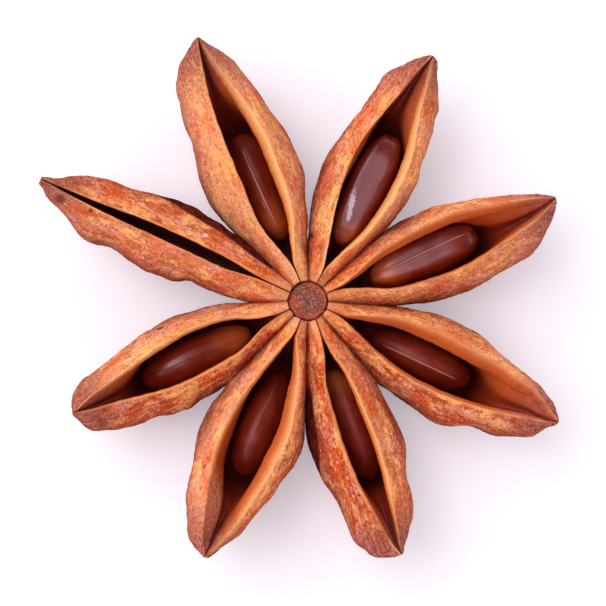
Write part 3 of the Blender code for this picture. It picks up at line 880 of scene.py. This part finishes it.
def husk_material(look):
    """Dry orange-brown husk: pitted and mottled outside, smooth and darker inside."""
    material, start, shader = new_material("husk")
    at = start.fact("grain", "Vector")
    inner, deep, down = start.fact("inner"), start.fact("deep"), start.fact("down")
    outward, lip_gap = start.fact("outward"), start.fact("lip_gap")
    tone, gloom = start.fact("tone"), start.fact("gloom")
    painted_shade, marks, rough = start.fact("painted_shade"), start.fact("marks"), start.fact("rough")

    broad = at.cloud((0.30, 0.60, 0.60), 4.0, 0.6)
    pale = at.cloud((0.45, 0.85, 0.85), 3.0, 0.6)
    pink = at.cloud((0.50, 1.1, 1.1), 3.0, 0.6)
    fibre = at.cloud((0.9, 3.2, 3.2), 4.0, 0.65)
    mottle = at.cloud((2.0, 2.4, 2.4), 5.0, 0.7)
    grit = at.cloud((6.0, 6.5, 6.5), 2.0, 0.6)
    specks = at.cloud((4.6, 4.6, 4.6), 2.0, 0.5)
    streaks = start.fact("strand", "Vector").cloud((0.35, 4.0, 1.0), 3.0, 0.6)
    spots, threads, dots = mottle - 0.5, fibre - 0.5, grit - 0.5

    # Painted shade: lower down a flank the skin is made darker and tinted with the tips' colour.
    flank_shade = down.step(0.3, 3.0)
    skin = (tone - 0.25 * flank_shade + spots + 0.4 * threads).step(0.0, 1.0)
    skin = skin.paint(look.dark, look.light)
    skin = ((pink + 0.4 * spots).step(0.46, 0.64) * 0.7).paint(skin, look.blush)
    ruddy = broad + 0.3 * threads + 0.4 * spots + 0.09 * outward.step(0.35, 0.12)
    skin = (ruddy.step(0.48, 0.66) * 0.85).paint(skin, look.patch)
    yellow = pale + 0.3 * threads + 0.3 * spots
    skin = (yellow.step(0.48, 0.68) * 0.75).paint(skin, look.pale)
    skin = (1.1 * mottle + 0.45 * fibre + 1.5 * grit - 0.5).shade(skin)
    ends = (mottle + fibre + grit).step(1.3, 1.75).paint(look.tip_dark, look.tip)
    skin = (flank_shade * 0.35).paint(skin, ends)
    mingled = 0.25 * spots + 0.35 * threads
    skin = ((outward + mingled).step(0.76, 0.96) * 0.9).paint(skin, ends)
    skin = ((outward + 0.4 * mingled).step(0.13, 0.09) * 0.4).paint(skin, look.root)
    skin = (specks.step(0.61, 0.71) * (0.9 - 0.5 * tone)).paint(skin, look.pit)
    # Painted glints: pale specks over the outside, fewer towards the tips.
    flecked = specks.step(0.38, 0.28) * (0.65 - 0.4 * outward.step(0.75, 0.95))
    skin = flecked.paint(skin, look.fleck)
    # Painted shade low down on the flanks, in the underside's colour.
    low = (down + 1.6 * spots + 2.4 * (broad - 0.5) + threads).step(1.6, 4.0)
    skin = (low * 0.8).paint(skin, look.under)
    skin = ((marks + 0.5 * dots).step(0.25, 0.7) * 0.8).paint(skin, look.pit)
    skin = ((marks + 0.5 * dots).step(-0.25, -0.6) * 0.8).paint(skin, look.fleck)
    # Painted highlight: a broken pale line along the crest of the lips, left out where the skin is
    # rough.
    edge = (lip_gap + 0.2 * spots).step(0.12, 0.01) * streaks.step(0.35, 0.6)
    skin = (edge * 0.55 * (1 - rough)).paint(skin, look.lip)

    # Darker from the inner edge down to the bed: partly the inside's colour, partly painted shade.
    wall = (deep + 0.3 * (streaks - 0.5)).step(-0.9, 0.0).paint(look.bevel, look.wall)
    wall = (deep + 0.3 * gloom + 0.2 * (streaks - 0.5)).step(0.15, 0.8).paint(wall, look.bed)
    wall = (0.35 + 0.7 * streaks + 0.6 * grit).shade(wall)
    wall = ((outward + 0.1 * spots).step(0.74, 0.97) * 0.6).paint(wall, ends)
    wall = (rough * 0.85).paint(wall, (0.1 + 0.7 * tone).paint(ends, skin))

    whole = (inner + 0.4 * threads).step(0.2, 0.9).paint(skin, wall)
    # Painted shade where light hardly reaches, near-black mottled with the underside's brown.
    shadow = (mottle + 0.5 * fibre).step(0.6, 1.0).paint(look.painted_shade, look.under)
    painted_shade_amount = painted_shade + 0.6 * spots + 0.3 * dots
    whole = painted_shade_amount.step(0.15, 0.9).paint(whole, shadow)
    dents = mottle + 0.5 * grit
    smoothness = inner * (1 - rough)
    settings = {
        "Strength": 0.8,
        "Distance": look.bump,
        "Height": dents * (1 - 0.82 * smoothness) + 0.15 * streaks,
    }
    bump = start.node("ShaderNodeBump", {}, settings)
    roughness = 0.75 - 0.3 * smoothness + 0.2 * spots
    dull = start.node("ShaderNodeBsdfPrincipled", {}, {"Specular IOR Level": 0.0}, "BSDF")
    for bsdf in (dull.socket.node, shader):
        connect(bsdf, Base_Color=whole, Roughness=roughness, Normal=bump)
    shader.inputs["Specular IOR Level"].default_value = HUSK_SPECULAR
    glossy = Wire(material.node_tree, shader.outputs["BSDF"])
    either = start.node("ShaderNodeMixShader", {}, {0: smoothness, 1: dull, 2: glossy})
    connect(material.node_tree.nodes["Material Output"], Surface=either)
    return material


def column_material(look):
    """The column: a granular brown disc on top, husk below."""
    material, start, shader = new_material("column_husk")
    at = start.fact("grain", "Vector")
    reach = start.fact("reach")
    grains = at.cloud((5.0, 5.0, 5.0), 3.0, 0.75)
    patches = at.cloud((1.1, 1.1, 1.1), 2.0, 0.5)
    top = grains.step(0.36, 0.62).paint(look.pore, look.disc)
    top = ((patches + 0.22 * (reach - 0.9)).step(0.46, 0.62) * 0.6).paint(top, look.patch)
    top = (grains.step(0.56, 0.68) * 0.5).paint(top, look.fleck)
    # Painted shade from the disc's rim down, over the sunken ring and the side.
    side = (grains + 1.5 * patches).step(1.15, 1.5).paint(look.painted_shade, look.disc)
    bump = {"Strength": 1.0, "Distance": 1.4 * look.bump, "Height": grains}
    connect(
        shader,
        Base_Color=(reach + 0.12 * (grains - 0.5)).step(1.2, 1.27).paint(top, side),
        Roughness=0.6 + 0.3 * grains,
        Normal=start.node("ShaderNodeBump", {}, bump),
    )
    return material


def seed_material(look):
    """Hard glossy red-brown coat, paler at the foot and along the line on the back."""
    material, start, shader = new_material("seed_coat")
    at = start.fact("grain", "Vector")
    line, foot = start.fact("line"), start.fact("foot")
    glint, gloss = start.fact("glint"), start.fact("gloss")
    clouds = at.cloud((0.5, 1.1, 1.0), 3.0, 0.6)
    hairs = at.cloud((0.7, 7.0, 1.0), 3.0, 0.6)
    glint_breakup = at.cloud((4.0, 4.0, 4.0), 3.0, 0.6)
    coat = clouds.step(0.35, 0.68).paint(look.coat, look.streak)
    coat = ((foot + 0.5 * (clouds - 0.5)).step(0.55, 1.2) * 0.9).paint(coat, look.foot)
    # The pale line along the back: a low ridge, partly a painted highlight.
    coat = ((line * (0.4 + hairs)).step(0.2, 0.9) * 0.6).paint(coat, look.line)
    # Painted highlight on one seed: a pale ragged streak along the edge of its sheen.
    glinting = (glint + 1.3 * (glint_breakup - 0.5)).step(0.42, 0.55)
    bump = {"Strength": 0.3, "Distance": 0.02 * MM, "Height": hairs + clouds}
    shader.inputs["Coat Roughness"].default_value = SEED_COAT_ROUGHNESS
    shader.inputs["Specular IOR Level"].default_value = SEED_SPECULAR
    connect(
        shader,
        Base_Color=glinting.paint(coat, look.glint),
        Roughness=0.42 - 0.14 * gloss + 0.2 * hairs + 0.15 * foot.step(0.6, 1.0) + 0.3 * glinting,
        Coat_Weight=0.85 * gloss,
        Normal=start.node("ShaderNodeBump", {}, bump),
    )
    return material


def belongs(obj, slot, *nodes):
    """Puts a piece in the part: what it stands for, and the body that it rides on. Its finish,
    slot, is not used.
    """
    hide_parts(*nodes)
    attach(obj, "root")


class STARANISE_OT_pods(bpy.types.Operator):
    """Build the eight pods"""

    bl_idname = "star_anise.pods"
    bl_label = "Build Pods"

    def execute(self, context):
        look = context.scene.star_anise_husk
        material = husk_material(look)
        for name, pod in PODS.items():
            points, facts = pod_skin(name, look)
            points = in_star(weather(points, facts, look), pod_frame(pod))
            belongs(skin_object(name, points, facts, material), "husk", "star")
        return {"FINISHED"}


class STARANISE_OT_column(bpy.types.Operator):
    """Build the column that the pods grow from"""

    bl_idname = "star_anise.column"
    bl_label = "Build Column"

    def execute(self, context):
        look = context.scene.star_anise_husk
        profile = np.array(COLUMN_PROFILE)
        legs = np.linalg.norm(np.diff(profile, axis=0), axis=1)
        rows = []
        for start, end, leg in zip(profile, profile[1:], legs):
            steps = max(2, math.ceil(leg / COLUMN_STEP))
            rows += [mix(start, end, i / steps) for i in range(steps)]
        rows = np.array(rows[1:])
        turn = np.linspace(0, 2 * math.pi, COLUMN_SIDES, endpoint=False)
        reach, height = rows[:, :1], rows[:, 1:]
        rim = RIM_SCALE * np.stack([np.cos(turn), np.sin(turn), 0 * turn], axis=-1)
        corners = RIM_SWAY * relief(rim) + RIM_NICKS * relief(rim * 3)
        ring = reach * (1 + corners * smooth((reach - RIM_START) / RIM_WIDTH))
        level = height + 0 * turn
        points = np.stack([ring * np.cos(turn), ring * np.sin(turn), level], axis=-1)
        coarse, fine = DISC_GRAINS
        grains = relief(points * coarse) + 0.6 * relief(points * fine + 4)
        points[..., 2] += DISC_GRAIN * grains * (height > DISC_ABOVE)
        facts = {"grain": points.copy(), "reach": reach + 0 * turn}
        points = in_star(points, COLUMN_PLACE)
        obj = skin_object("column", points, facts, column_material(look))
        belongs(obj, "husk", "star")
        return {"FINISHED"}


class STARANISE_OT_seeds(bpy.types.Operator):
    """Build the seeds that lie loose in the pods"""

    bl_idname = "star_anise.seeds"
    bl_label = "Build Seeds"

    def execute(self, context):
        look = context.scene.star_anise_seeds
        material = seed_material(look)
        for name, pod in PODS.items():
            if pod.seed:
                self.seed(name, pod, look, material)
        return {"FINISHED"}

    def ring(self, back):
        """Half-widths and heights of one section, with its points crowded on the back."""
        turn = np.linspace(-math.pi, math.pi, RING_STEPS)
        bend = np.where(np.cos(turn) > 0, 2 / back, 1.0)
        out = np.copysign(np.abs(np.sin(turn)) ** bend, np.sin(turn))
        rise = np.copysign(np.abs(np.cos(turn)) ** bend, np.cos(turn))
        legs = np.hypot(SEED_THICKNESS * np.diff(out), SEED_HEIGHT * np.diff(rise))
        legs *= 1 + SEED_CROWDING * hump(out[1:], 0, 0.5) * (rise[1:] > 0)
        reach = np.concatenate([[0.0], np.cumsum(legs)])
        stops = np.linspace(0.0, reach[-1], SEED_SIDES, endpoint=False)
        return np.interp(stops, reach, out), np.interp(stops, reach, rise)

    def seed(self, name, pod, look, material):
        """A flat egg on edge, blunt towards the pod's tip and flattened on top."""
        seed_length, along = pod.seed
        seed = SEEDS[name]
        low = lip_height(pod, along / pod.length) - through(HOLLOW_DEPTH, along / pod.length)
        height = low + SEED_GAP + 0.5 * SEED_HEIGHT
        lines = (np.arange(SEED_RINGS) + 0.35) / (SEED_RINGS - 0.3)
        x = -np.cos(math.pi * lines)[:, None]
        out, rise = self.ring(seed.back)
        above = rise > 0
        egg = 1 + SEED_EGG * x
        wide = (1 - np.abs(x) ** SEED_BLUNT) ** (1 / SEED_BLUNT) * egg
        flat = max(2.0, SEED_BACK * seed.back)
        shifted = np.abs(x - seed.peak * (1 - x * x))
        tall = np.where(above, (1 - shifted**flat) ** (1 / flat) * egg, wide)
        side = 0.5 * SEED_THICKNESS * wide * out
        up = 0.5 * SEED_HEIGHT * tall * rise
        points = np.stack([0.5 * seed_length * x + 0 * out, side, up], axis=-1)
        # The fine line along the back: a low ridge whose pale colour is partly a painted highlight.
        line = hump(side, mix(*seed.line_left, 0.5 + 0.5 * x), LINE_WIDTH)
        line *= seed.line * above * smooth(between(np.abs(x), *LINE_SHARE))
        dents = -look.dents / MM * np.abs(relief(points * 0.5 + 9.0 * rank(name)))
        points = points + normals_of(points) * dents[..., None]
        points[..., 2] += LINE_HEIGHT * (line - 1) * above
        # Painted highlight on one seed: a pale ragged streak along the edge of its sheen.
        glint = np.zeros(line.shape)
        if name == GLINT_POD:
            past = points[..., 0] + GLINT_START
            left, width = (start + slope * past for start, slope in (GLINT_LEFT, GLINT_WIDTH))
            glint = hump(side, left, width)
            glint *= smooth(past * GLINT_RISE) * smooth(1.3 - past / GLINT_LENGTH)
            glint *= above
        facts = {
            "grain": points * (1, 1.4, 1),
            "line": line,
            "foot": (0.5 - 0.5 * x) ** 2 * seed.foot + 0 * out,
            "gloss": seed.gloss + 0 * side,
            "glint": glint,
        }
        place = pod_frame(pod) @ Matrix.Translation(Vector((along, pod.seat, height)) * MM)
        place = place @ Matrix.Rotation(math.radians(-seed.lean), 4, "X")
        node = name.replace("pod", "seed")
        obj = skin_object(f"{node}_coat", in_star(points, place), facts, material)
        belongs(obj, "seed_coat", node)


class STARANISE_OT_studio(bpy.types.Operator):
    """Build the floor, the lights and the camera"""

    bl_idname = "star_anise.studio"
    bl_label = "Build Studio"

    def execute(self, context):
        look = context.scene.star_anise_studio
        scene = context.scene
        scene.view_settings.view_transform = "Standard"
        self.floor(scene, look)
        self.lights(scene, look)
        self.camera(scene)
        return {"FINISHED"}

    def floor(self, scene, look):
        """A pale table that is lit a little from below, which keeps the shadows light."""
        half = FLOOR_HALF
        corners = [(-half, -half, 0), (half, -half, 0), (half, half, 0), (-half, half, 0)]
        mesh = bpy.data.meshes.new("floor")
        mesh.from_pydata(corners, [], [(0, 1, 2, 3)])
        material, _, shader = new_material("floor")
        shader.inputs["Base Color"].default_value = (*look.floor, 1.0)
        shader.inputs["Roughness"].default_value = 0.8
        shader.inputs["Emission Color"].default_value = (*look.glow_tint, 1.0)
        shader.inputs["Emission Strength"].default_value = look.glow
        mesh.materials.append(material)
        obj = bpy.data.objects.new("floor", mesh)
        scene.collection.objects.link(obj)

    def lights(self, scene, look):
        """Soft light from all round, brightest from the sides, and two square lamps."""
        world = bpy.data.worlds.new("surroundings")
        world.use_nodes = True
        background = world.node_tree.nodes["Background"]
        background.inputs["Color"].default_value = (*look.sky, 1.0)
        towards = Wire(world.node_tree).node("ShaderNodeTexCoord", output="Generated")
        up = towards.node("ShaderNodeSeparateXYZ", {}, {0: towards}, "Z")
        change = (look.above - look.sides) * up.step(*SKY_BLEND)
        connect(background, Strength=look.sides + change)
        scene.world = world
        lamps = (
            ("key", KEY_AT, KEY_SIDE, look.key, WHITE),
            ("overhead", OVERHEAD_AT, OVERHEAD_SIDE, look.overhead, look.overhead_tint),
        )
        for name, at, size, watts, tint in lamps:
            light = bpy.data.lights.new(name, "AREA")
            light.shape = "SQUARE"
            light.size = size
            light.energy = watts
            light.color = tint
            obj = bpy.data.objects.new(name, light)
            scene.collection.objects.link(obj)
            obj.location = at
            obj.rotation_euler = (-Vector(at)).to_track_quat("-Z", "Y").to_euler()

    def camera(self, scene):
        """Straight above the column but for a slight lean, with the photo's top towards +Y."""
        camera = bpy.data.cameras.new("camera")
        obj = bpy.data.objects.new("camera", camera)
        scene.collection.objects.link(obj)
        lean = math.sin(TILT)
        back = Vector(
            (lean * math.cos(TILT_TOWARDS), lean * math.sin(TILT_TOWARDS), math.cos(TILT))
        )
        up = (Vector((0, 1, 0)) - back * back.y).normalized()
        right = up.cross(back)
        aim = Vector((COLUMN_AT[0], COLUMN_AT[1], CAMERA_AIM)) * MM
        turn = Matrix((right, up, back)).transposed().to_4x4()
        obj.matrix_world = Matrix.Translation(aim + back * CAMERA_AWAY) @ turn
        camera.sensor_width = SENSOR
        camera.lens = SENSOR * CAMERA_AWAY / (IMAGE_SIDE * PIXEL * MM)
        camera.shift_x = -(COLUMN_PIXEL[0] - IMAGE_SIDE / 2) / IMAGE_SIDE
        camera.shift_y = (COLUMN_PIXEL[1] - IMAGE_SIDE / 2) / IMAGE_SIDE
        camera.clip_start = NEAREST
        scene.camera = obj


class STARANISE_PT_panel(bpy.types.Panel):
    """Lists the steps and what can be changed"""

    bl_idname = "STARANISE_PT_panel"
    bl_label = "Star Anise"
    bl_space_type = "VIEW_3D"
    bl_region_type = "UI"
    bl_category = "Star Anise"

    def draw(self, context):
        for operator in OPERATORS:
            self.layout.operator(operator.bl_idname)
        for key, group in GROUPS.items():
            box = self.layout.box()
            for field in group.__annotations__:
                box.prop(getattr(context.scene, key), field)


GROUPS = {
    "star_anise_husk": HuskLook,
    "star_anise_seeds": SeedLook,
    "star_anise_studio": StudioLook,
}
OPERATORS = (STARANISE_OT_pods, STARANISE_OT_column, STARANISE_OT_seeds, STARANISE_OT_studio)


def register():
    for cls in (*GROUPS.values(), *OPERATORS, STARANISE_PT_panel):
        bpy.utils.register_class(cls)
    for key, group in GROUPS.items():
        setattr(bpy.types.Scene, key, bpy.props.PointerProperty(type=group))


def unregister():
    for key in GROUPS:
        delattr(bpy.types.Scene, key)
    for cls in reversed((*GROUPS.values(), *OPERATORS, STARANISE_PT_panel)):
        bpy.utils.unregister_class(cls)


def main():
    register()
    bpy.ops.star_anise.pods()
    bpy.ops.star_anise.column()
    bpy.ops.star_anise.seeds()
    bpy.ops.star_anise.studio()


if __name__ == "__main__":
    main()
